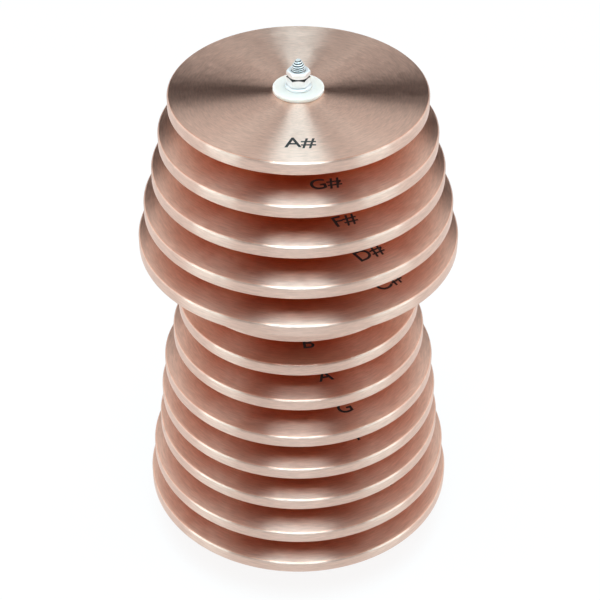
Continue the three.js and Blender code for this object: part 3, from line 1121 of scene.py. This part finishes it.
def floor_material(own_white):
    """A white floor that keeps the stack's shadow, and looks white to camera and metal."""
    material, tree, shader, _ = new_material("Studio Floor")
    shader.inputs["Base Color"].default_value = (0.9, 0.9, 0.9, 1)
    shader.inputs["Roughness"].default_value = 0.9
    rays = add_node(tree, "ShaderNodeLightPath")
    camera, glossy = rays.outputs["Is Camera Ray"], rays.outputs["Is Glossy Ray"]
    seen = calculate(tree, "MAXIMUM", camera, glossy)
    seen = calculate(tree, "MAXIMUM", seen, rays.outputs["Is Transmission Ray"])
    white = add_node(tree, "ShaderNodeEmission")
    white.inputs["Strength"].default_value = 1.0
    share = calculate(tree, "MULTIPLY", seen, own_white)
    mix = fed_node(tree, share, "ShaderNodeMixShader")
    tree.links.new(shader.outputs[0], mix.inputs[1])
    tree.links.new(white.outputs[0], mix.inputs[2])
    tree.links.new(mix.outputs[0], tree.nodes["Material Output"].inputs["Surface"])
    return material


def add_lamp(name, place, width, length, colour, level):
    """A soft rectangular lamp that points at the stack. A level of 1 shows as white."""
    lamp = bpy.data.lights.new(name, "AREA")
    lamp.shape = "RECTANGLE"
    lamp.size = width
    lamp.size_y = length
    lamp.energy = level * math.pi * width * length
    lamp.color = colour
    hung = new_object(name, lamp)
    hung.location = place
    hung.rotation_euler = (Vector(LAMP_AIM) - Vector(place)).to_track_quat("-Z", "Y").to_euler()


class CrotaleStudio(bpy.types.Operator):
    """Set up the floor, the lamps, the lit room and the camera"""

    bl_idname = "crotales.studio"
    bl_label = "Studio"

    def execute(self, context):
        studio = context.scene.crotale_studio
        self.lay_floor(studio)
        for name, place, width, length, colour, setting, share in LAMPS:
            add_lamp(name, place, width, length, colour, share * getattr(studio, setting))
        self.light_room(context, studio)
        self.set_camera(context, studio)
        return {"FINISHED"}

    def lay_floor(self, studio):
        shape = bmesh.new()
        bmesh.ops.create_circle(shape, cap_ends=True, segments=64, radius=12)
        mesh = new_mesh("floor", shape)
        mesh.materials.append(floor_material(studio.floor_white))
        floor = new_object("floor", mesh)
        floor.location.z = -FLOOR_GAP

    def light_room(self, context, studio):
        """A lit ceiling and side walls, dim in front, dark between them, and a pale horizon."""
        world = bpy.data.worlds.new("Studio")
        world.use_nodes = True
        tree = world.node_tree
        place = add_node(tree, "ShaderNodeTexCoord")
        split = fed_node(tree, place.outputs["Generated"], "ShaderNodeSeparateXYZ")
        back, up = split.outputs["Y"], split.outputs["Z"]
        aside = calculate(tree, "ABSOLUTE", split.outputs["X"])
        slope = calculate(tree, "MULTIPLY", aside, CEILING_SLOPE)
        ceiling = fade(tree, calculate(tree, "ADD", up, slope), CEILING_EDGE)
        walls = fade(tree, aside, WALL_EDGE)
        share = calculate(tree, "MAXIMUM", ceiling, walls)
        behind = calculate(tree, "MAXIMUM", fade(tree, back, BACK_EDGE), FRONT_SHARE)
        share = calculate(tree, "MULTIPLY", share, behind)
        share = calculate(tree, "MAXIMUM", share, fade(tree, up, HORIZON_EDGE))
        colour = blend(tree, share, (*studio.surroundings, 1), (*studio.ceiling, 1))
        tree.links.new(colour, tree.nodes["Background"].inputs["Color"])
        slope = calculate(tree, "MULTIPLY", back, FLAG_SLOPE)
        flag = fade(tree, calculate(tree, "ADD", aside, slope), FLAG_EDGE)
        level = calculate(tree, "MULTIPLY", walls, studio.walls - 1)
        level = calculate(tree, "ADD", level, ROOM_LEVEL)
        level = calculate(tree, "SUBTRACT", level, calculate(tree, "MULTIPLY", flag, FLAG_LEVEL))
        tree.links.new(level, tree.nodes["Background"].inputs["Strength"])
        context.scene.world = world

    def set_camera(self, context, studio):
        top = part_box("crotale_a_sharp")[1].z
        aim = Vector((0, 0, top - studio.aim_below_top))
        away = Vector((0, -math.cos(studio.elevation), math.sin(studio.elevation)))
        lens = bpy.data.cameras.new("Camera")
        lens.lens = studio.lens
        lens.sensor_width = 36
        lens.shift_x = studio.shift
        lens.clip_start = 10 * MM
        camera = new_object("Camera", lens)
        camera.location = aim + away * studio.distance
        camera.rotation_euler = (-away).to_track_quat("-Z", "Y").to_euler()
        context.scene.camera = camera
        context.scene.view_settings.view_transform = "Standard"
        context.scene.cycles.glossy_bounces = 12


class CrotalePanel(bpy.types.Panel):
    """Lists the stack's pieces in the sidebar"""

    bl_idname = "VIEW3D_PT_crotales"
    bl_label = "Crotales"
    bl_space_type = "VIEW_3D"
    bl_region_type = "UI"
    bl_category = "Crotales"

    def draw(self, context):
        for settings, _, operators in SETTINGS:
            box = self.layout.box()
            for operator in operators:
                box.operator(operator)
            group = getattr(context.scene, settings)
            for name in group.__annotations__:
                box.prop(group, name)


# Each group of settings: its name in the scene, its class and the operators that use it
SETTINGS = (
    ("crotale_discs", CrotaleDiscSettings, ("crotales.discs",)),
    ("crotale_marks", CrotaleMarkSettings, ("crotales.marks",)),
    ("crotale_bushes", CrotaleBushSettings, ("crotales.bushes",)),
    ("crotale_rod", CrotaleRodSettings, ("crotales.rod", "crotales.fasteners")),
    ("crotale_foot", CrotaleFootSettings, ("crotales.foot",)),
    ("crotale_studio", CrotaleStudioSettings, ("crotales.studio",)),
)

CLASSES = (
    CrotaleDiscs,
    CrotaleMarks,
    CrotaleBushes,
    CrotaleRod,
    CrotaleFasteners,
    CrotaleFoot,
    CrotaleStudio,
    CrotalePanel,
)


def register():
    for name, settings, _ in SETTINGS:
        bpy.utils.register_class(settings)
        setattr(bpy.types.Scene, name, PointerProperty(type=settings))
    for each in CLASSES:
        bpy.utils.register_class(each)


def unregister():
    for each in reversed(CLASSES):
        bpy.utils.unregister_class(each)
    for name, settings, _ in reversed(SETTINGS):
        delattr(bpy.types.Scene, name)
        bpy.utils.unregister_class(settings)


def main():
    register()
    bpy.ops.crotales.discs()
    bpy.ops.crotales.marks()
    bpy.ops.crotales.bushes()
    bpy.ops.crotales.rod()
    bpy.ops.crotales.fasteners()
    bpy.ops.crotales.foot()
    bpy.ops.crotales.studio()


if __name__ == "__main__":
    main()
